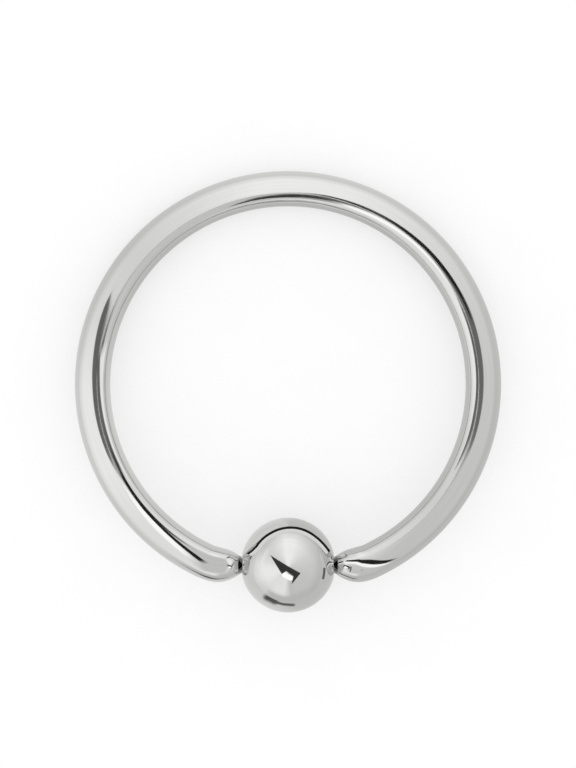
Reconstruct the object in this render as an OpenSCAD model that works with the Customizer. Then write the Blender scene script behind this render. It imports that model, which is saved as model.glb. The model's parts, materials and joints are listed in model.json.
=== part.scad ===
// Captive bead ring: an open ring of round wire that holds a dimpled bead between its two ends.
// It lies on its side as it comes to rest by itself, on the bead and on the far side of the
// wire. Sizes are in millimetres, +Z is up, and the surface under it is at Z = 0.

/* [Ring] */
// Thickness of the round wire
wire_d = 1.2; // [0.8:0.1:1.6]
// Clear diameter inside the ring
inside_d = 12; // [8:0.5:19]
// Length of the taper at each end of the wire, from the full wire to the tip
taper_l = 1.1; // [1:0.05:1.6]
// Radius of the round tip at each end
tip_r = 0.24; // [0.12:0.01:0.3]

/* [Bead] */
// Diameter of the bead
bead_d = 3.2; // [2.4:0.1:5]
// Depth of each dimple, below the round of the bead
dimple_depth = 0.25; // [0.15:0.01:0.4]
// Radius of the ball that would fill a dimple
dimple_r = 0.55; // [0.4:0.01:0.9]
// Play between each tip and the bottom of its dimple
tip_gap = 0.04; // [0.02:0.01:0.1]

/* [Hidden] */
$fn = 96;

wire_r = wire_d / 2;
bead_r = bead_d / 2;
// Radius of the circle that the middle of the wire follows
ring_r = inside_d / 2 + wire_r;

// The two tips reach for each other along the line through the dimples. The full wire ends
// where its circle meets that line.
end_x = bead_r - dimple_depth + tip_gap + taper_l;
end_a = asin(end_x / ring_r);
// Distance of the bead from the middle of the ring
bead_y = sqrt(ring_r ^ 2 - end_x ^ 2);
// Slope of the taper, which leaves a ball as thick as the wire and meets the ball of the tip
taper_a = asin((wire_r - tip_r) / (taper_l - tip_r));
// The taper is this much thinner than one that is tangent, so it crosses both balls in a line
taper_fit = 0.998;
// Each half of the wire runs this far past the middle, to share a stretch with the other half
lap_a = 2;

// Slope at which the ring leans down, from the bead to the far side of the wire
lean_a = asin((bead_r - wire_r) / (ring_r + bead_y));
middle_z = ring_r * sin(lean_a) + wire_r;
// Middle of the length as it lies, which goes over the origin
middle_y = ((ring_r - bead_y) * cos(lean_a) + wire_r - bead_r) / 2;

// Lays a piece down out of the ring's own plane, in which the bead is at -Y.
module laid() {
    translate([0, -middle_y, middle_z])
        rotate([-lean_a, 0, 0])
            children();
}

// Half outline of one end of the wire, with its tip on +Y: ball, taper and tip.
module end_outline() {
    foot_r = [wire_r, tip_r] * cos(taper_a) * taper_fit;
    foot_y = [wire_r * sin(taper_a), taper_l - tip_r + tip_r * sin(taper_a)];
    intersection() {
        translate([0, -wire_r]) square([wire_r, wire_r + taper_l]);
        union() {
            circle(wire_r);
            polygon([[0, foot_y[0]], [foot_r[0], foot_y[0]], [foot_r[1], foot_y[1]], [0, foot_y[1]]]);
            translate([0, taper_l - tip_r]) circle(tip_r);
        }
    }
}

// One end of the wire, beyond the flat at Y = 0 in which the bent wire meets it.
module wire_end() {
    difference() {
        rotate([90, 0, -end_a]) rotate_extrude() end_outline();
        translate([0, wire_d, 0]) cube(2 * wire_d, center = true);
    }
}

// Half of the wire, from its end beside the bead to just past the far side.
module half_ring() {
    rotate([0, 0, end_a - 90]) {
        rotate_extrude(angle = 180 - end_a + lap_a)
            translate([ring_r, 0])
                circle(wire_r);
        translate([ring_r, 0, 0]) wire_end();
    }
}

// The wire, bent into an open circle.
module ring() {
    color("silver")
        laid() {
            half_ring();
            mirror([1, 0, 0]) half_ring();
        }
}

// Half outline of the bead, with a dimple at each end of its axis along Y.
module bead_outline() {
    intersection() {
        translate([0, -bead_r]) square([bead_r, bead_d]);
        difference() {
            circle(bead_r);
            for (side = [-1, 1])
                translate([0, side * (bead_r - dimple_depth + dimple_r)]) circle(dimple_r);
        }
    }
}

// The bead, turned about the line through its dimples.
module bead() {
    color("gainsboro")
        laid()
            translate([0, -bead_y, 0])
                rotate([0, 90, 0])
                    rotate_extrude()
                        bead_outline();
}

ring();
bead();
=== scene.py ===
# %% [markdown]
# # A captive bead ring in polished steel
# The real thing is two pieces of metal: a length of round wire bent into an open circle, and a
# ball with a dimple at each side that the wire's two ends pinch between them. It lies on its side,
# on the ball and on the far side of the wire. The model it is built around was made in CAD and
# is loaded first. Every object here is in metres, in the same frame, with +Z up and the surface
# that the ring lies on at Z = 0. The cards that the steel mirrors are worked out in millimetres, as
# their docstrings say, and are turned to metres when they are made.

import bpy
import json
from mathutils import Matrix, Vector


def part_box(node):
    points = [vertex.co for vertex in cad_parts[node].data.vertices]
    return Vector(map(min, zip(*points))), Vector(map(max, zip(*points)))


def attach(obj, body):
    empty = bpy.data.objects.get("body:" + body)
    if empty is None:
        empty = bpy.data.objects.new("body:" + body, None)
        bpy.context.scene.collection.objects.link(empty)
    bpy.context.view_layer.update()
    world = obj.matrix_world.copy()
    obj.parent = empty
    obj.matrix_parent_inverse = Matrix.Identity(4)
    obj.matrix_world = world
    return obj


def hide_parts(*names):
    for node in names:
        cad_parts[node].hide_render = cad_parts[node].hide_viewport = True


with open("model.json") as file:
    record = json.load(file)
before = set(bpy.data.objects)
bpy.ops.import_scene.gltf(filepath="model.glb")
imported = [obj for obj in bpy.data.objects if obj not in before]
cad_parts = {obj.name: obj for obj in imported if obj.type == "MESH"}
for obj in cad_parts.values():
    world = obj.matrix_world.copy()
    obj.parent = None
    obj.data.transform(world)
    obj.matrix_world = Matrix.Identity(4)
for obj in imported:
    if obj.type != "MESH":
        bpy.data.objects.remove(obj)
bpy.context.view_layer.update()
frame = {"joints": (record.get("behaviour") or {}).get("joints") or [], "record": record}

# %% [markdown]
# ## Sizes
# A polished surface shows every corner of a mesh in its reflections, so both pieces are made again
# here as finer surfaces that stand where the CAD solids do. What the frame can say is read from
# it: the outside of the wire's circle, the thickness of the wire and the place of the ball. The
# shape of the wire's ends and of the dimples is small, and is given here as it is in the CAD
# model.

# %% Read the sizes
import math

import bmesh
import bpy
import numpy as np

MM = 0.001
TAPER_L = 1.1 * MM
TIP_R = 0.24 * MM
DIMPLE_DEPTH = 0.25 * MM
DIMPLE_R = 0.55 * MM
TIP_GAP = 0.04 * MM

wire_low, wire_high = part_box("ring")
wire_r = frame["record"]["mounts"][0]["dims"]["r_mm"] * MM
ring_r = (wire_high.x - wire_low.x) / 2 - wire_r
bead_at = np.array(frame["joints"][0]["pos_m"])
bead_r = bead_at[2]

end_x = bead_r - DIMPLE_DEPTH + TIP_GAP + TAPER_L
bead_y = math.sqrt(ring_r**2 - end_x**2)
lean = math.asin((bead_r - wire_r) / (ring_r + bead_y))
print("wire", round(2 * wire_r / MM, 3), "mm, ball", round(2 * bead_r / MM, 3), "mm, circle",
      round(2 * ring_r / MM, 3), "mm, lean", round(math.degrees(lean), 2), "degrees")

# %% [markdown]
# ## The ring's own plane
# The circle doesn't lie flat: the ball is thicker than the wire, so the circle leans down from
# the ball to its far side. It is simplest to work in the circle's own plane, where the ball is at
# -Y, and to lay each finished shape down into the frame.

# %% Lay a shape down
along_x = np.array([1.0, 0.0, 0.0])
along_y = np.array([0.0, math.cos(lean), -math.sin(lean)])
along_z = np.array([0.0, math.sin(lean), math.cos(lean)])
ring_at = bead_at + bead_y * along_y


def laid(points):
    """Points (..., 3) in the ring's plane, from its middle, as points of the frame:
    middle + x * along_x + y * along_y + z * along_z."""
    return ring_at + points @ np.array([along_x, along_y, along_z])


print("middle of the ring in mm:", np.round(ring_at / MM, 3))

# %% [markdown]
# ## From a grid to a mesh
# Both pieces are closed skins that run from one pole to the other, such as a globe does. A grid
# of points, one row for each ring of latitude, becomes a mesh in one step: each four neighbours
# are a face, the last column joins the first, and a fan of triangles closes each pole. The UV
# map holds real millimetres, along the piece and round it, so a pattern on it has a real size.


# %% A closed skin
def closed_skin(name, rows, first_pole, last_pole, along, round_by):
    """A mesh through the grid rows (n, m, 3), closed at two poles. The face between rows i and
    i+1 and columns j and j+1 has the corners (i,j), (i,j+1), (i+1,j+1), (i+1,j), and column m is
    column 0. The first corner of each triangle of a fan is its pole. UV is (along[i],
    round_by[j]) in millimetres."""
    n, m = rows.shape[:2]
    points = np.vstack([rows.reshape(-1, 3), first_pole, last_pole])
    i, j = (a.ravel() for a in np.meshgrid(np.arange(n - 1), np.arange(m), indexing="ij"))
    row = np.stack([i, i, i + 1, i + 1], axis=1).ravel()
    column = np.stack([j, j + 1, j + 1, j], axis=1).ravel()
    j = np.arange(m)
    first_fan = np.stack([j, j + 1, j], axis=1).ravel()
    last_fan = np.stack([j, j, j + 1], axis=1).ravel()
    row = np.concatenate([row, np.zeros(3 * m, int), np.full(3 * m, n - 1)])
    column = np.concatenate([column, first_fan, last_fan])
    corners = row * m + column % m
    corners[-6 * m:-3 * m:3] = n * m
    corners[-3 * m::3] = n * m + 1

    mesh = bpy.data.meshes.new(name)
    sizes = np.repeat([4, 3], [(n - 1) * m, 2 * m])
    starts = np.cumsum(sizes) - sizes
    mesh.vertices.add(len(points))
    mesh.vertices.foreach_set("co", laid(points).astype(np.float32).ravel())
    mesh.loops.add(len(corners))
    mesh.loops.foreach_set("vertex_index", corners.astype(np.int32))
    mesh.polygons.add(len(sizes))
    mesh.polygons.foreach_set("loop_start", starts.astype(np.int32))
    mesh.update(calc_edges=True)
    mesh.shade_smooth()
    uv = np.stack([along[row], round_by[column]], axis=1)
    layer = mesh.uv_layers.new(name="millimetres")
    layer.data.foreach_set("uv", uv.astype(np.float32).ravel())

    measured = bmesh.new()
    measured.from_mesh(mesh)
    volume = measured.calc_volume(signed=True) / MM**3
    measured.free()
    print(name, "has", 2 * n * m, "triangles and holds", round(volume, 3), "cubic mm")
    piece = bpy.data.objects.new(name, mesh)
    bpy.context.scene.collection.objects.link(piece)
    return piece


# %% [markdown]
# ## The wire
# A real ring of this kind starts as straight round wire. It is cut, both ends are turned to a
# rounded taper with a small round tip, and it is bent round a mandrel until the tips face each
# other. So the surface is one round section carried along a path. The path starts straight at
# the tip, on the line through the ball, turns into the circle on a short arc, and follows the
# circle. Along it the section grows from nothing to the full wire, first on the ball of the tip
# and then on one long arc, which touches the tip's ball and the side of the wire.

# %% Path of the wire
TURN_R = 1.5 * MM

tip_x = bead_r - DIMPLE_DEPTH + TIP_GAP
turn_x = math.sqrt((ring_r - TURN_R)**2 - (bead_y - TURN_R)**2)
turn_a = math.atan2(turn_x, bead_y - TURN_R)
straight_l = turn_x - tip_x
turn_l = TURN_R * turn_a
print("straight end", round(straight_l / MM, 3), "mm, arc after it", round(turn_l / MM, 3), "mm")


def path_at(s):
    """Middle and direction angle of the path at the length s from the tip, for x > 0: a straight
    line, an arc of TURN_R turned by (s - straight) / TURN_R, and the circle, at the angle
    turn + (s - straight - arc) / ring_r from -Y."""
    turn = np.clip((s - straight_l) / TURN_R, 0, turn_a)
    bend = np.maximum(s - straight_l - turn_l, 0) / ring_r
    x = tip_x + np.minimum(s, straight_l) + TURN_R * np.sin(turn)
    y = -bead_y + TURN_R * (1 - np.cos(turn))
    x += ring_r * (np.sin(turn_a + bend) - math.sin(turn_a))
    y += ring_r * (math.cos(turn_a) - np.cos(turn_a + bend))
    return np.stack([x, y], axis=1), turn + bend


# %% Thickness of the wire
nose_r = ((TAPER_L - TIP_R)**2 + wire_r**2 - TIP_R**2) / (2 * (wire_r - TIP_R))
nose_start = TAPER_L - nose_r * (TAPER_L - TIP_R) / (nose_r - TIP_R)
print("arc of the taper", round(nose_r / MM, 3), "mm, from", round(nose_start / MM, 3), "mm on")


def radius_at(s):
    """Radius of the section at the length s from the tip: the ball of the tip, sqrt(s (2 TIP_R -
    s)), up to where the arc touches it, then the arc, wire_r - nose_r + sqrt(nose_r^2 -
    (TAPER_L - s)^2), and the full wire beyond TAPER_L."""
    ball = np.sqrt(np.maximum(s * (2 * TIP_R - s), 0))
    left = np.maximum(TAPER_L - s, 0)
    arc = wire_r - nose_r + np.sqrt(nose_r**2 - left**2)
    return np.where(s < nose_start, ball, arc)


# %% Build the wire
TIP_ROWS = 12
NOSE_ROWS = 32
TURN_ROWS = 24
BEND_STEP = math.radians(0.5)
WIRE_COLUMNS = 96


def half_path():
    """Lengths from the tip at which the sections are made, closer where the shape turns more: on
    the tip as TIP_R (1 - cos t), then evenly on the taper, the arc and the circle."""
    t = np.linspace(0, math.acos(1 - nose_start / TIP_R), TIP_ROWS + 1)[1:]
    tip = TIP_R * (1 - np.cos(t))
    nose = np.linspace(nose_start, straight_l, NOSE_ROWS + 1)[1:]
    turn = np.linspace(straight_l, straight_l + turn_l, TURN_ROWS + 1)[1:]
    bend = np.linspace(turn_a, math.pi, round((math.pi - turn_a) / BEND_STEP) + 1)[1:]
    return np.concatenate([tip, nose, turn, turn[-1] + ring_r * (bend - turn_a)])


def make_ring():
    """Each point is middle + radius * (cos(a) * inward + sin(a) * up), for a right round the
    section. The left half is the right one with x reversed."""
    s = half_path()
    middle, turn = path_at(s)
    radius = radius_at(s)
    inward = np.stack([-np.sin(turn), np.cos(turn)], axis=1)
    flip = np.array([-1, 1])
    middle = np.vstack([middle, (middle * flip)[-2::-1]])
    inward = np.vstack([inward, (inward * flip)[-2::-1]])
    radius = np.concatenate([radius, radius[-2::-1]])
    a = np.linspace(0, 2 * math.pi, WIRE_COLUMNS, endpoint=False)
    flat = middle[:, None] + radius[:, None, None] * np.cos(a)[:, None] * inward[:, None]
    height = radius[:, None] * np.sin(a)
    rows = np.concatenate([flat, height[..., None]], axis=2)
    tip = np.array([tip_x, -bead_y, 0])
    along = np.concatenate([s, 2 * s[-1] - s[-2::-1]]) / MM
    round_by = np.linspace(0, 2 * math.pi, WIRE_COLUMNS + 1) * wire_r / MM
    print("length of the wire in mm:", round(2 * s[-1] / MM, 2))
    return closed_skin("steel_ring", rows, tip, tip * [-1, 1, 1], along, round_by)


steel_ring = make_ring()

# %% [markdown]
# ## The ball
# The ball is turned and drilled, or pressed, with a shallow dimple at each side, and then
# tumbled, which rounds the rim of each dimple a little. It is a profile turned about the line
# through its dimples. The profile has three arcs on each side, which touch where they meet: the
# hollow of the dimple, the soft rim and the round of the ball.

# %% Profile of the ball
RIM_R = 0.03 * MM
DIMPLE_ROWS = 12
RIM_ROWS = 8
BALL_ROWS = 90


def bead_profile():
    """Half of the profile, as distance along the axis and radius, from the bottom of a dimple to
    the ball's widest circle. The rim is an arc of RIM_R that touches the ball of the dimple from
    outside and the round of the ball from inside, so its middle lies where the circles of radius
    DIMPLE_R + RIM_R and bead_r - RIM_R cross."""
    apart = bead_r - DIMPLE_DEPTH + DIMPLE_R
    inner, outer = DIMPLE_R + RIM_R, bead_r - RIM_R
    rim_x = (apart**2 + outer**2 - inner**2) / (2 * apart)
    rim_y = math.sqrt(outer**2 - rim_x**2)
    dimple_end = math.atan2(rim_y, apart - rim_x)
    ball_start = math.atan2(rim_y, rim_x)
    t = np.linspace(0, dimple_end, DIMPLE_ROWS + 1)[1:]
    dimple = np.stack([apart - DIMPLE_R * np.cos(t), DIMPLE_R * np.sin(t)])
    t = np.linspace(-dimple_end, ball_start, RIM_ROWS + 1)[1:]
    rim = np.stack([rim_x + RIM_R * np.cos(t), rim_y + RIM_R * np.sin(t)])
    t = np.linspace(ball_start, math.pi / 2, BALL_ROWS + 1)[1:]
    print("dimple is", round(2 * rim_y / MM, 3), "mm wide at its rim")
    return np.concatenate([dimple, rim, bead_r * np.stack([np.cos(t), np.sin(t)])], axis=1)


# %% Build the ball
BEAD_COLUMNS = 192


def make_bead():
    """Each point is (x, r * cos(a) - bead_y, -r * sin(a)), for the profile's x and r, and a right
    round, in the sense that turns the faces outwards. The left half has x reversed."""
    x, r = bead_profile()
    x = np.concatenate([x, -x[-2::-1]])
    r = np.concatenate([r, r[-2::-1]])
    a = np.linspace(0, 2 * math.pi, BEAD_COLUMNS, endpoint=False)
    rows = np.stack([x[:, None] + 0 * a, r[:, None] * np.cos(a) - bead_y, -r[:, None] * np.sin(a)],
                    axis=2)
    pole = np.array([bead_r - DIMPLE_DEPTH, -bead_y, 0])
    along = np.concatenate([[0], np.cumsum(np.hypot(np.diff(x), np.diff(r)))]) / MM
    round_by = np.linspace(0, 2 * math.pi, BEAD_COLUMNS + 1) * bead_r / MM
    return closed_skin("steel_bead", rows, pole, pole * [-1, 1, 1], along, round_by)


steel_bead = make_bead()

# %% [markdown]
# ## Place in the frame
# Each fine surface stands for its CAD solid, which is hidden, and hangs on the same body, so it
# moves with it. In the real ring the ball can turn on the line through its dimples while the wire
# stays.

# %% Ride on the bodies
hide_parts("ring")
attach(steel_ring, "ring")
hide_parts("bead")
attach(steel_bead, "bead")

# %% [markdown]
# ## Tools for the materials
# A colour is written as people read it, in sRGB, and turned to the linear values that a shader
# works with. One function adds a node, sets its values and joins its inputs, so each material
# below reads as a short list.


# %% Colour and node helpers
def linear(colour):
    """#RRGGBB as linear red, green, blue and alpha 1: c / 12.92 up to 0.04045, and
    ((c + 0.055) / 1.055) ^ 2.4 above it."""
    shares = np.array([int(colour[i:i + 2], 16) for i in (1, 3, 5)]) / 255
    low, high = shares / 12.92, ((shares + 0.055) / 1.055) ** 2.4
    return (*np.where(shares > 0.04045, high, low), 1.0)


def add_node(tree, kind, settings=None, inputs=None):
    """Adds a node to tree. settings are its own properties, and inputs sets each named or numbered
    socket, from another node's output or to a value."""
    node = tree.nodes.new(kind)
    for name, value in (settings or {}).items():
        setattr(node, name, value)
    for name, value in (inputs or {}).items():
        if isinstance(value, bpy.types.NodeSocket):
            tree.links.new(value, node.inputs[name])
        else:
            node.inputs[name].default_value = value
    return node


def empty_material(name):
    """A material with an empty node tree."""
    material = bpy.data.materials.new(name)
    material.use_nodes = True
    material.node_tree.nodes.clear()
    return material, material.node_tree


print("#808080 in linear light:", round(float(linear("#808080")[0]), 3))

# %% [markdown]
# ## Polished steel
# Body jewellery is surgical steel, 316L. Its colour is a light grey that is hardly warm. Polished
# as it is, it keeps faint marks of how that was done. They blur the mirror a little and unevenly,
# which gives the eye real metal rather than a perfect mirror. Both finishes below are this metal
# with marks of their own, so one function makes the metal from the marks.

# %% Metal from its marks
MARK_DEPTH = 0.002 * MM
NOISE_LOW, NOISE_HIGH = 0.3, 0.7


def polished(tree, marks, gloss, tones, relief):
    """Metal with marks, the output of a noise, which stays mostly from NOISE_LOW to NOISE_HIGH.
    Over that range they take the roughness from one end of gloss to the other. They mix the two
    tones, and give a relief of MARK_DEPTH at the strength relief."""
    rough = add_node(tree, "ShaderNodeMapRange", inputs={
        "Value": marks, "From Min": NOISE_LOW, "From Max": NOISE_HIGH,
        "To Min": gloss[0], "To Max": gloss[1]})
    tone = add_node(tree, "ShaderNodeMix", {"data_type": "RGBA"}, {
        "Factor": marks, "A": linear(tones[0]), "B": linear(tones[1])})
    bump = add_node(tree, "ShaderNodeBump", inputs={
        "Height": marks, "Strength": relief, "Distance": MARK_DEPTH})
    metal = add_node(tree, "ShaderNodeBsdfPrincipled", inputs={
        "Metallic": 1.0, "Base Color": tone.outputs["Result"],
        "Roughness": rough.outputs["Result"], "Normal": bump.outputs["Normal"]})
    add_node(tree, "ShaderNodeOutputMaterial", inputs={"Surface": metal.outputs["BSDF"]})


# %% [markdown]
# ## Drawn wire
# The wire is drawn through a die and then polished along its length, so its faint marks run along
# it: they give the reflections a soft, slightly streaked edge, and leave them sharp across the
# wire. A streak is about 3 mm long and a fourteenth of a millimetre wide. The real ones are finer,
# but would be too fine to show.

# %% Wire steel
STREAKS_ALONG_MM, STREAKS_ACROSS_MM = 0.35, 14.0
WIRE_GLOSS = (0.05, 0.11)
WIRE_TONES = ("#CFCFCE", "#DADAD8")
WIRE_RELIEF = 0.25


def wire_steel():
    """Drawn and polished 316L: streaks along the wire in roughness, tone and bump."""
    material, tree = empty_material("drawn_polished_316L")
    place = add_node(tree, "ShaderNodeUVMap", {"uv_map": "millimetres"})
    stretch = add_node(tree, "ShaderNodeMapping", inputs={
        "Vector": place.outputs["UV"], "Scale": (STREAKS_ALONG_MM, STREAKS_ACROSS_MM, 1.0)})
    streaks = add_node(tree, "ShaderNodeTexNoise", {"noise_dimensions": "2D"}, {
        "Vector": stretch.outputs["Vector"], "Scale": 1.0, "Detail": 4.0, "Roughness": 0.6})
    polished(tree, streaks.outputs["Fac"], WIRE_GLOSS, WIRE_TONES, WIRE_RELIEF)
    return material


steel_ring.data.materials.append(wire_steel())
print("wire:", steel_ring.data.materials[0].name)

# %% [markdown]
# ## Tumbled ball
# The ball is polished in a drum, where the pieces rub on each other in all directions. It is the
# brighter mirror of the two, with no direction in its marks, only a faint cloudiness.

# %% Ball steel
HAZE_SIZE = 0.25 * MM
BALL_GLOSS = (0.03, 0.07)
BALL_TONES = ("#D2D2D1", "#DADAD9")
BALL_RELIEF = 0.1


def ball_steel():
    """Tumbled 316L: a fine haze with no direction."""
    material, tree = empty_material("tumbled_polished_316L")
    place = add_node(tree, "ShaderNodeTexCoord")
    haze = add_node(tree, "ShaderNodeTexNoise", inputs={
        "Vector": place.outputs["Object"], "Scale": 1 / HAZE_SIZE, "Detail": 3.0,
        "Roughness": 0.55})
    polished(tree, haze.outputs["Fac"], BALL_GLOSS, BALL_TONES, BALL_RELIEF)
    return material


steel_bead.data.materials.append(ball_steel())
print("ball:", steel_bead.data.materials[0].name)

# %% [markdown]
# ## Floor
# A plain pale surface, matt, so that it mirrors nothing. It is a light table, which glows a
# little itself, so the shadows on it stay faint.

# %% Build the floor
FLOOR_HALF = 0.6
FLOOR_GLOW = 0.5
FLOOR_GRAIN = 2 * MM
FLOOR_TONES = ("#B8B8B8", "#BCBCBC")


def make_floor():
    """A flat square at Z = 0 with a faint grain, which gives off FLOOR_GLOW and reflects about
    half of the light that falls on it."""
    corners = FLOOR_HALF * np.array([[-1, -1, 0], [1, -1, 0], [1, 1, 0], [-1, 1, 0]])
    mesh = bpy.data.meshes.new("floor")
    mesh.from_pydata(corners.tolist(), [], [(0, 1, 2, 3)])
    floor = bpy.data.objects.new("floor", mesh)
    bpy.context.scene.collection.objects.link(floor)
    material, tree = empty_material("frosted_light_table")
    material.cycles.emission_sampling = "NONE"
    place = add_node(tree, "ShaderNodeTexCoord")
    grain = add_node(tree, "ShaderNodeTexNoise", inputs={
        "Vector": place.outputs["Object"], "Scale": 1 / FLOOR_GRAIN, "Detail": 2.0})
    tone = add_node(tree, "ShaderNodeMix", {"data_type": "RGBA"}, {
        "Factor": grain.outputs["Fac"], "A": linear(FLOOR_TONES[0]), "B": linear(FLOOR_TONES[1])})
    board = add_node(tree, "ShaderNodeBsdfPrincipled", inputs={
        "Base Color": tone.outputs["Result"], "Roughness": 1.0, "Specular IOR Level": 0.0,
        "Emission Color": linear("#FFFFFF"), "Emission Strength": FLOOR_GLOW})
    add_node(tree, "ShaderNodeOutputMaterial", inputs={"Surface": board.outputs["BSDF"]})
    mesh.materials.append(material)
    print("floor is", 2 * FLOOR_HALF, "m wide")


make_floor()

# %% [markdown]
# ## Light
# Polished metal has hardly a look of its own: it shows what is round it. The world is a plain
# white tent, which gives the floor its even light and soft shadow. What the steel mirrors is set
# apart from it, as a photographer does with cards. Each card is a fine grid of points. What it
# gives off at each point is worked out as a whole array and kept on the mesh, and its material
# gives off just that. Only reflections see a card: it lights nothing, throws no shadow and is out
# of the camera's sight. So a card may also hang nearer to the ring than a real one could.

# %% The tent
TENT_LIGHT = 1.04


def make_tent():
    """The same white from all sides."""
    world = bpy.data.worlds.new("tent")
    bpy.context.scene.world = world
    world.use_nodes = True
    world.node_tree.nodes.clear()
    sky = add_node(world.node_tree, "ShaderNodeBackground", inputs={
        "Color": linear("#FFFFFF"), "Strength": TENT_LIGHT})
    add_node(world.node_tree, "ShaderNodeOutputWorld", inputs={
        "Surface": sky.outputs["Background"]})
    print("tent gives", TENT_LIGHT)


make_tent()
bpy.context.scene.view_settings.view_transform = "Standard"


# %% Make a card
def card_material():
    """Gives off the mesh's glow, and lets through what its cover leaves."""
    material, tree = empty_material("glowing_card")
    material.cycles.emission_sampling = "NONE"
    glow = add_node(tree, "ShaderNodeAttribute", {"attribute_name": "glow"})
    cover = add_node(tree, "ShaderNodeAttribute", {"attribute_name": "cover"})
    light = add_node(tree, "ShaderNodeEmission", inputs={"Strength": glow.outputs["Fac"]})
    clear = add_node(tree, "ShaderNodeBsdfTransparent")
    both = add_node(tree, "ShaderNodeMixShader", inputs={
        0: cover.outputs["Fac"], 1: clear.outputs["BSDF"], 2: light.outputs["Emission"]})
    add_node(tree, "ShaderNodeOutputMaterial", inputs={"Surface": both.outputs["Shader"]})
    return material


CARD_MATERIAL = card_material()


def make_card(name, points, glow, cover):
    """A card through the grid points (n, m, 3) of the frame, in millimetres, with glow and cover
    (n, m) at each."""
    n, m = glow.shape
    i, j = (a.ravel() for a in np.meshgrid(np.arange(n - 1), np.arange(m - 1), indexing="ij"))
    first = i * m + j
    faces = np.stack([first, first + 1, first + m + 1, first + m], axis=1)
    mesh = bpy.data.meshes.new(name)
    mesh.from_pydata((points.reshape(-1, 3) * MM).tolist(), [], faces.tolist())
    for attribute, values in (("glow", glow), ("cover", cover)):
        layer = mesh.attributes.new(attribute, "FLOAT", "POINT")
        layer.data.foreach_set("value", values.astype(np.float32).ravel())
    mesh.materials.append(CARD_MATERIAL)
    card = bpy.data.objects.new(name, mesh)
    bpy.context.scene.collection.objects.link(card)
    card.visible_camera = card.visible_diffuse = card.visible_shadow = False
    print(name, "has", n * m, "points")


# %% [markdown]
# ## Drawing on a card
# The dark lines that draw the shape of polished wire are reflections of dark things near it,
# such as a lens or the edge of a table. They are drawn here with a few soft masks.


# %% Masks
def soft_step(value, start, end):
    """0 up to start and 1 from end on, with 3 s^2 - 2 s^3 of the share s between them. It steps
    down where end is less than start."""
    s = np.clip((value - start) / (end - start), 0, 1)
    return s * s * (3 - 2 * s)


def bar(x, y, points, half_width, soft):
    """1 within half_width of the line through points, and down to 0 over soft beyond that."""
    near = np.full(x.shape, np.inf)
    for (x0, y0), (x1, y1) in zip(points[:-1], points[1:]):
        dx, dy = x1 - x0, y1 - y0
        share = np.clip(((x - x0) * dx + (y - y0) * dy) / (dx**2 + dy**2), 0, 1)
        near = np.minimum(near, np.hypot(x - x0 - share * dx, y - y0 - share * dy))
    return soft_step(near, half_width + soft, half_width)


def fan(x, y, table, soft):
    """Rows of the table are (angle, from, to), in degrees from +X and in millimetres. 1 between
    the two distances at each angle, and down to 0 over soft on both sides, or over what there is
    to the middle."""
    angle, start, end = np.array(sorted(table), float).T
    a = (np.degrees(np.arctan2(y, x)) - angle[0]) % 360 + angle[0]
    far = np.hypot(x, y)
    start, end = np.interp(a, angle, start), np.interp(a, angle, end)
    return (soft_step(far, start - np.minimum(soft, start), start)
            * soft_step(far, end + soft, end) * (a <= angle[-1]))


def paint(glow, mask, value):
    """glow where mask is 0, value where it is 1."""
    return glow + (value - glow) * mask


print("a soft step a quarter of the way:", round(float(soft_step(0.25, 0, 1)), 3))

# %% [markdown]
# ## The room
# Far from the ring the steel sees walls that are lighter to the left and at the top, and near
# the floor a greyer light, with the dark line of its own contact under the wire. Floor, walls
# and ceiling are one surface: a profile carried round, from the middle of the floor out and up.

# %% Light from each side
# Angle in degrees from +X, and strength
SIDE_LIGHT = [(-84, 0.76), (-40, 0.79), (0, 0.84), (25, 0.92), (50, 1.05), (74, 1.22), (98, 1.24),
              (120, 1.03), (140, 0.93), (158, 1.0), (180, 1.18), (205, 1.2), (226, 1.06),
              (262, 1.12)]


def light_round(x, y):
    """Light from the direction (x, y): a straight line from each row of SIDE_LIGHT to the next,
    and from the last one round to the first."""
    angle, light = np.array(SIDE_LIGHT).T
    return np.interp(np.degrees(np.arctan2(y, x)), angle, light, period=360)


print("light from the left and the right:", light_round(-1, 0), light_round(1, 0))

# %% [markdown]
# ## What the ball shows
# A ball shows nearly everything round it. Seen from straight above, the spot at the share rho of
# its radius from its middle looks at the angle 2 * asin(rho) off the vertical. So a dark shape is
# best drawn where it shows on the ball, and carried from there to the card or the floor.

# %% From the surroundings to the ball's face
FACE_STEPS = 2000
NEARLY_ZERO = 1e-9


def face_of(x, y, height, low, high):
    """Shares of the ball's radius, right and up, at which it shows the point (x, y) at a height
    over its middle, all in millimetres. The spot at the share rho shows the distance r rho +
    (height - r sqrt(1 - rho^2)) tan(2 asin(rho)), which is read backwards between low and high."""
    r = bead_r / MM
    rho = np.linspace(low, high, FACE_STEPS)
    reach = r * rho + (height - r * np.sqrt(1 - rho**2)) * np.tan(2 * np.arcsin(rho))
    order = np.argsort(reach)
    far = np.hypot(x, y)
    share = np.interp(far, reach[order], rho[order]) / np.maximum(far, NEARLY_ZERO)
    return x * share, y * share


def height_for(rho, reach):
    """Height over the ball's middle at which a point at the distance reach shows at rho: the same
    rule solved for the height, r sqrt(1 - rho^2) + (reach - r rho) / tan(2 asin(rho))."""
    r = bead_r / MM
    return r * np.sqrt(1 - rho**2) + (reach - r * rho) / np.tan(2 * np.arcsin(rho))


print("3 mm beside the ball, a point shows at rho 0.6 if it is", round(height_for(0.6, 3.0), 2),
      "mm up")

# %% Light of the floor
# Strength of the floor's light, and the share of it that changes with the side
FLOOR_GREY, FLOOR_CHANGES = 0.8, 0.5
# Strengths of the grey inside the ring and of the shadows under the wire and the ball
INSIDE_GREY, WIRE_SHADE, BALL_SHADE = 0.66, 0.35, 0.1
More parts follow.
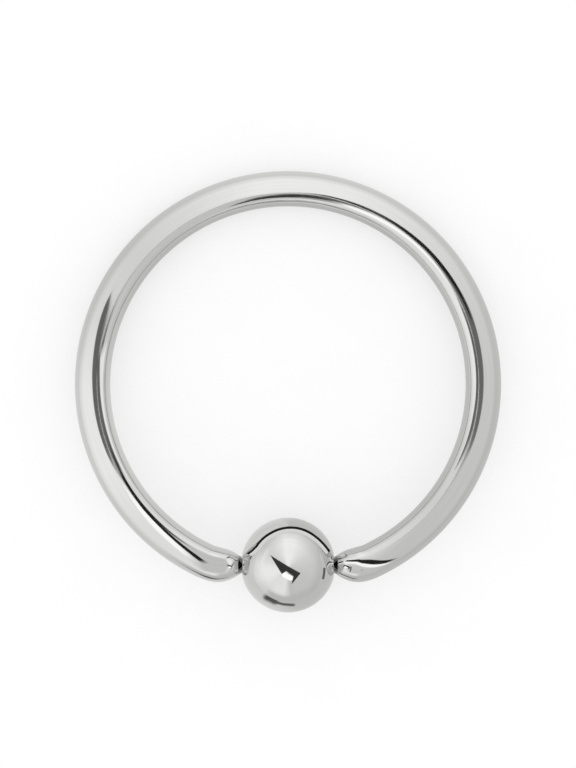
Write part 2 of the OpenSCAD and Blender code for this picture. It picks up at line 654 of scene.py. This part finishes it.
# Distances in millimetres, from the ring's and the ball's middle, where these begin and are full
INSIDE_EDGE = (6.6, 5.6)
BALL_EDGE = (1.3, 0.3)
# Stretches of y, in millimetres, over which the grey inside the ring and the shadow of the wire
# grow towards the far side, and where that shadow begins
INSIDE_GROWS = (-1, 5)
SHADE_GROWS = (-5, 4)
SHADE_START = -5.5
# Half width in millimetres of the wire's shadow beside the ball, what it gains towards the far
# side, and its softness
SHADE_HALF, SHADE_GAIN, SHADE_SOFT = 0.05, 0.2, 0.35
# Shares of its radius between which the ball shows the floor
FLOOR_RHO = (0.72, 0.99)
# The streak on the ball's face, and for each stretch of it the half width, softness and strength
FRONT_STREAK = [(-0.41, -0.655), (-0.33, -0.685), (-0.26, -0.72), (-0.19, -0.745), (-0.10, -0.77),
                (0.10, -0.79)]
STREAK_BARS = [(FRONT_STREAK[:3], 0.015, 0.1, 0.1), (FRONT_STREAK[1:], 0.005, 0.05, 0.12)]


def room_floor(x, y):
    """Grey, darker inside the ring at the far side, with the contact shadow of the wire, which is
    widest at the far side, where the wire touches, the shadow under the ball, and a dark streak
    that the ball shows near its front."""
    glow = FLOOR_GREY * (1 - FLOOR_CHANGES + FLOOR_CHANGES * light_round(x, y))
    from_middle = np.hypot(x, y - ring_at[1] / MM)
    in_circle = soft_step(from_middle, *INSIDE_EDGE) * soft_step(y, *INSIDE_GROWS)
    glow = paint(glow, in_circle, INSIDE_GREY)
    from_wire = np.abs(from_middle - ring_r / MM)
    half = SHADE_HALF + SHADE_GAIN * soft_step(y, *SHADE_GROWS)
    under_wire = soft_step(from_wire, half + SHADE_SOFT, half) * (y > SHADE_START)
    glow = paint(glow, under_wire, WIRE_SHADE)
    from_ball = np.hypot(x, y - bead_at[1] / MM)
    glow = paint(glow, soft_step(from_ball, *BALL_EDGE), BALL_SHADE)
    face = face_of(x, y - bead_at[1] / MM, -bead_r / MM, *FLOOR_RHO)
    for points, half_width, soft, value in STREAK_BARS:
        glow = paint(glow, bar(*face, points, half_width, soft), value)
    return glow


# %% Light of the walls
# Share of their light that the walls give at the floor, what it gains upwards, and the degrees up
# at which it has all of it
LOW_WALL, WALL_GAIN, FULL_RISE = 0.84, 0.16, 35
# The greyer low wall in front: its strength, and where it begins and is full, in degrees up and in
# millimetres to each side
FRONT_GREY = 0.68
FRONT_RISE = (24, 12)
FRONT_SIDE = (40, 25)


def room_wall(x, y, rise):
    """The light of each side, weaker near the floor, and greyer low in front."""
    glow = light_round(x, y) * (LOW_WALL + WALL_GAIN * soft_step(rise, 0, FULL_RISE))
    front = soft_step(rise, *FRONT_RISE) * (y < 0) * soft_step(np.abs(x), *FRONT_SIDE)
    return paint(glow, front, FRONT_GREY)


# %% Build the room
ROOM_R = 60.0
ROOM_FLOOR_Z = 0.03
# The floor has fine rows out to the first radius, and coarse ones from the second
FINE_R, FINE_ROWS = 24, 161
COARSE_R, COARSE_ROWS = 26, 18
DOME_ROWS = 60
ROOM_COLUMNS = 361
WALL_START = 0.5


def make_room():
    """Floor points at the radius r, from 0 to ROOM_R, then a dome, (ROOM_R cos e, ROOM_R sin e)
    at the elevation e, in millimetres. What is over WALL_START degrees up is wall."""
    r = np.concatenate([np.linspace(0, FINE_R, FINE_ROWS),
                        np.linspace(COARSE_R, ROOM_R, COARSE_ROWS)])
    e = np.linspace(0, math.pi / 2, DOME_ROWS + 1)[1:]
    r_all = np.concatenate([r, ROOM_R * np.cos(e)])
    z_all = ROOM_FLOOR_Z + np.concatenate([0 * r, ROOM_R * np.sin(e)])
    a = np.linspace(0, 2 * math.pi, ROOM_COLUMNS)
    x, y = r_all[:, None] * np.cos(a), r_all[:, None] * np.sin(a)
    z = z_all[:, None] + 0 * a
    rise = np.degrees(np.arcsin(np.clip(z / ROOM_R, 0, 1)))
    glow = np.where(rise > WALL_START, room_wall(x, y, rise), room_floor(x, y))
    make_card("room", np.stack([x, y, z], axis=2), glow, np.ones_like(glow))


make_room()

# %% [markdown]
# ## The card over the ring
# One card hangs over the middle of the ring, in its own plane, and gives the wire its dark lines.
# A wire mirrors only what lies square to it, so the part of the wire at the left shows the card's
# middle from left to right, and the part at the top shows it from top to bottom. So each dark
# band on the wire is a wing on the card, drawn as a fan round its middle: a row gives the angle
# at which that part of the wire looks, and how far the wing reaches there. The very middle stays
# light, because all of the wire sees it.

# %% The card over the wire
WIRE_CARD_H = 10.0
WIRE_CARD_HALF, WIRE_CARD_FADE = 26, 8
WIRE_CARD_CELLS = 416
# Angle in degrees from +X, and from where to where the wing reaches, in millimetres
BLACK_RIGHT = [(19, 4.4, 4.9), (26, 3.7, 5.8), (32, 3.0, 5.9), (40, 2.2, 5.6), (50, 1.2, 4.8),
               (60, 0.4, 3.7), (70, 0.35, 2.6), (80, 0.35, 1.9), (86, 0.35, 0.5)]
BLACK_DOWN = [(-118, 0.35, 0.5), (-110, 0.35, 3.4), (-100, 0.35, 7.6), (-90, 1.8, 11.5),
              (-80, 4.6, 14), (-75, 9, 14.5), (-72, 12, 13)]
GREY_DOWN = [(-107, 9, 9.5), (-102, 7, 16), (-92, 11, 18), (-86, 14, 15)]
GREY_RIGHT = [(-24, 0.35, 0.5), (-19, 0.35, 3.8), (-10, 0.35, 4.9), (0, 0.35, 5.6),
              (10, 0.35, 6.0), (22, 0.35, 6.5), (32, 0.35, 5.8), (40, 0.35, 0.5)]
GREY_LEFT = [(153, 9.4, 9.6), (157, 5.0, 9.8), (162, 1.6, 8.8), (168, 0.35, 7.4), (174, 0.35, 6.4),
             (182, 0.35, 5.4), (192, 0.35, 4.8), (202, 0.35, 3.8), (211, 0.35, 0.5)]
WHITE_RAY = [(-152, 0.8, 1.0), (-140, 1.0, 5.0), (-130, 1.5, 6.5), (-120, 2.0, 10),
             (-112, 4.0, 13), (-107, 8, 10)]
# Wing, softness in millimetres and strength, in the order in which they are painted
WINGS = [(WHITE_RAY, 1.5, 1.45), (GREY_DOWN, 2.0, 0.5), (GREY_RIGHT, 1.0, 0.19),
         (GREY_LEFT, 1.0, 0.17), (BLACK_DOWN, 0.8, 0.05), (BLACK_RIGHT, 0.6, 0.015)]


def flat_card(name, middle, height, half, cells, paint_on):
    """A square card in the ring's plane, height above it, round middle. paint_on(x, y) gives the
    glow and the cover at x and y from its own middle. All in millimetres."""
    side = np.linspace(-half, half, cells + 1)
    x, y = np.meshgrid(side, side, indexing="ij")
    points = np.stack([middle[0] + x, middle[1] + y, np.full_like(x, height)], axis=2) * MM
    make_card(name, laid(points) / MM, *paint_on(x, y))


def over_wire(x, y):
    """The light of the room, with the white ray and the grey patch at the near side, and the grey
    and the black wings over them."""
    glow = light_round(x, y)
    for wing, soft, value in WINGS:
        glow = paint(glow, fan(x, y, wing, soft), value)
    return glow, soft_step(np.hypot(x, y), WIRE_CARD_HALF, WIRE_CARD_HALF - WIRE_CARD_FADE)


flat_card("card_over_wire", (0, 0), WIRE_CARD_H, WIRE_CARD_HALF, WIRE_CARD_CELLS, over_wire)

# %% [markdown]
# ## Cards for the ball
# The ball shows a dark shape with a bright notch near its middle, a black arc at the far side
# with light along it, and a short mark at the right. A small card low over the ball gives the
# shape. It is nearly out of the wire's sight: only the wire's ends see a little of it. The arc and
# the mark come from narrow bands that stand round the ball, at the height at which the ball shows
# them in the right place.

# %% The card over the ball
BALL_CARD_H = 2.6
BALL_CARD_R, BALL_CARD_FADE = 4.2, 1.7
BALL_CARD_CELLS = 300
# The ball shows the card within this share of its radius
BALL_CARD_RHO = 0.68
BOOMERANG = [(-0.375, 0.255), (0.263, -0.115), (0.072, -0.356), (0.112, -0.179),
             (-0.038, -0.069), (-0.129, -0.129)]
BOOMERANG_GLOW = 0.05
NOTCH = [(-0.07, -0.15), (0.05, -0.215)]
NOTCH_HALF, NOTCH_SOFT, NOTCH_GLOW = 0.035, 0.03, 1.6


def inside(x, y, outline):
    """1 where (x, y) is inside the outline, by counting its sides to the right of the point."""
    hits = np.zeros(x.shape, bool)
    for (x0, y0), (x1, y1) in zip(outline, outline[1:] + outline[:1]):
        crosses = (y0 > y) != (y1 > y)
        side = x0 + (y - y0) * (x1 - x0) / (y1 - y0 if y1 != y0 else 1)
        hits ^= crosses & (x < side)
    return hits.astype(float)


def over_ball(x, y):
    """The light of the room, with a white notch and a dark boomerang that bends round it."""
    face = face_of(x, y, BALL_CARD_H, 0, BALL_CARD_RHO)
    glow = light_round(x, y)
    glow = paint(glow, bar(*face, NOTCH, NOTCH_HALF, NOTCH_SOFT), NOTCH_GLOW)
    glow = paint(glow, inside(*face, BOOMERANG), BOOMERANG_GLOW)
    return glow, soft_step(np.hypot(x, y), BALL_CARD_R, BALL_CARD_R - BALL_CARD_FADE)


flat_card("card_over_ball", (0, -bead_y / MM), BALL_CARD_H, BALL_CARD_R, BALL_CARD_CELLS,
          over_ball)

# %% The arc and the mark beside the ball
ARC_REACH = 1.9
ARC_COLUMNS = 74
# Angle in degrees from +X, and the share of the ball's radius at which the line shows
ARC_MARKS = [(18, 0.92), (25, 0.895), (34, 0.87), (47, 0.847), (75, 0.826), (90, 0.812),
             (118, 0.787), (148, 0.784), (157, 0.82), (164, 0.88)]
SIDE_MARKS = [(-20, 0.775), (-9, 0.763), (-2, 0.76)]
# Step from the line, as a share of the ball's radius, and strength
ARC_BANDS = [(-0.09, 0.95), (-0.04, 0.95), (-0.034, 1.2), (-0.026, 1.2), (-0.024, 0.02),
             (0.026, 0.02)]
SIDE_BANDS = [(-0.034, 0.7), (-0.012, 0.12), (0.012, 0.12), (0.034, 0.7)]


def make_arc(name, marks, bands):
    """A band round part of the ball, ARC_REACH millimetres from its middle. Its line follows the
    rows (angle, rho) of marks, and each row of bands is a step of rho from there and the glow, as
    high as the ball needs it to show at that rho."""
    angle, rho = np.array(marks).T
    step, glow = np.array(bands).T
    a = np.linspace(angle[0], angle[-1], ARC_COLUMNS)
    rho = np.interp(a, angle, rho)[:, None] + step
    a = np.radians(a)[:, None] + 0 * step
    points = np.stack([ARC_REACH * np.cos(a), ARC_REACH * np.sin(a) - bead_y / MM,
                       height_for(rho, ARC_REACH)], axis=2)
    make_card(name, laid(points * MM) / MM, np.broadcast_to(glow, a.shape), 0 * a + 1)


make_arc("arc_over_ball", ARC_MARKS, ARC_BANDS)
make_arc("mark_beside_ball", SIDE_MARKS, SIDE_BANDS)

# %% [markdown]
# ## Ribbons
# Some lines show on one stretch of the wire only, such as the thin black line on each of its
# ends. The card over the ring is seen by all of the wire, so it can't give them. A ribbon that
# hangs low, half a millimetre over the wire, is seen by the stretch under it alone, and the ball
# sees it nearly edge on. Two more ribbons, wide ones, calm the wire's left end with an even grey
# and put light along the inner side of the wire at the left.

# %% Make a ribbon
# A ribbon's rows are the offset across its line in millimetres, the strength and the cover
GREY_H = 1.15
GREY_LINE = [(-3.6, -6.0), (-3.0, -6.05), (-1.7, -6.11), (-1.4, -6.11)]
GREY_ROWS = [(-1.3, 0.76, 0), (-0.9, 0.76, 1), (0.9, 0.76, 1), (1.3, 0.76, 0)]
LINE_H = 1.1
LIGHT_LINE = [(-4.84, 1.22), (-4.73, 0.75), (-4.55, 0.24), (-4.41, -0.31), (-4.22, -0.90),
              (-4.04, -1.39), (-3.82, -1.86), (-3.56, -2.31), (-3.40, -2.66)]
LIGHT_ROWS = [(-1.55, 0.17, 0), (-1.42, 0.17, 1), (-1.15, 0.17, 1), (-0.95, 1.15, 1),
              (0.7, 1.15, 1), (1.1, 1.15, 0)]
LEFT_LINE = [(-5.30, -2.70), (-5.10, -2.95), (-4.58, -3.84), (-3.92, -4.67), (-3.58, -5.11),
             (-3.21, -5.56), (-2.94, -5.91), (-2.75, -6.10)]
LEFT_ROWS = [(-0.16, 0.02, 0), (-0.12, 0.02, 1), (0.12, 0.02, 1), (0.16, 0.02, 0)]
RIGHT_LINE = [(1.10, -5.36), (1.25, -5.38), (2.2, -5.60), (2.9, -6.05), (3.7, -6.53), (4.4, -6.95)]
RIGHT_ROWS = [(-0.4, 1.4, 0), (-0.33, 1.4, 1), (-0.16, 1.4, 1), (-0.12, 0.02, 1), (0.12, 0.02, 1),
              (0.16, 0.02, 0)]


def ribbon(name, line, height, across, rows):
    """A card along a line of points (x, y) of the ring's plane, at a height over it. Each row is
    an offset along the direction across, and the glow and the cover there. The first and the
    last point are clear, so its ends are soft."""
    points = np.array([(x, y, height) for x, y in line], float)
    offset, glow, cover = np.array(rows, float).T
    across = np.array([*across, 0.0]) / math.hypot(*across)
    grid = points[:, None] + offset[:, None] * across
    shape = grid.shape[:2]
    ends = np.ones(shape)
    ends[[0, -1]] = 0
    make_card(name, laid(grid * MM) / MM, np.broadcast_to(glow, shape), ends * cover)


ribbon("grey_over_left_end", GREY_LINE, GREY_H, (0, 1), GREY_ROWS)
ribbon("light_inside_left", LIGHT_LINE, LINE_H, (1, 0), LIGHT_ROWS)
ribbon("line_over_left_end", LEFT_LINE, LINE_H, (0.8, 0.6), LEFT_ROWS)
ribbon("line_over_right_end", RIGHT_LINE, LINE_H, (0.35, 0.94), RIGHT_ROWS)

# %% [markdown]
# ## Camera
# The photograph looks straight at the ring, with the ball at the bottom of the picture. So the
# camera stands square over the leaning circle, on the line through its middle, and is turned by
# the lean.

# %% Place the camera
LENS_MM = 100
PICTURE_W, PICTURE_H = 576, 768
SHARE_OF_WIDTH = 0.74
CLIP_END = 10


def make_camera():
    """Far enough for the ring's outside to fill its share of the picture's width: distance =
    lens * field / film, and the film's long side is the picture's height."""
    data = bpy.data.cameras.new("camera")
    data.lens = LENS_MM
    field_w = 2 * (ring_r + wire_r) / SHARE_OF_WIDTH
    distance = data.lens / data.sensor_width * field_w * PICTURE_H / PICTURE_W
    camera = bpy.data.objects.new("camera", data)
    bpy.context.scene.collection.objects.link(camera)
    camera.location = laid(np.array([0, 0, distance]))
    camera.rotation_euler = (-lean, 0, 0)
    data.clip_start = distance / 100
    data.clip_end = CLIP_END
    bpy.context.scene.camera = camera
    print("camera is", round(distance / MM, 1), "mm over the ring")


make_camera()

# %% [markdown]
# ## End

# %% End
import json
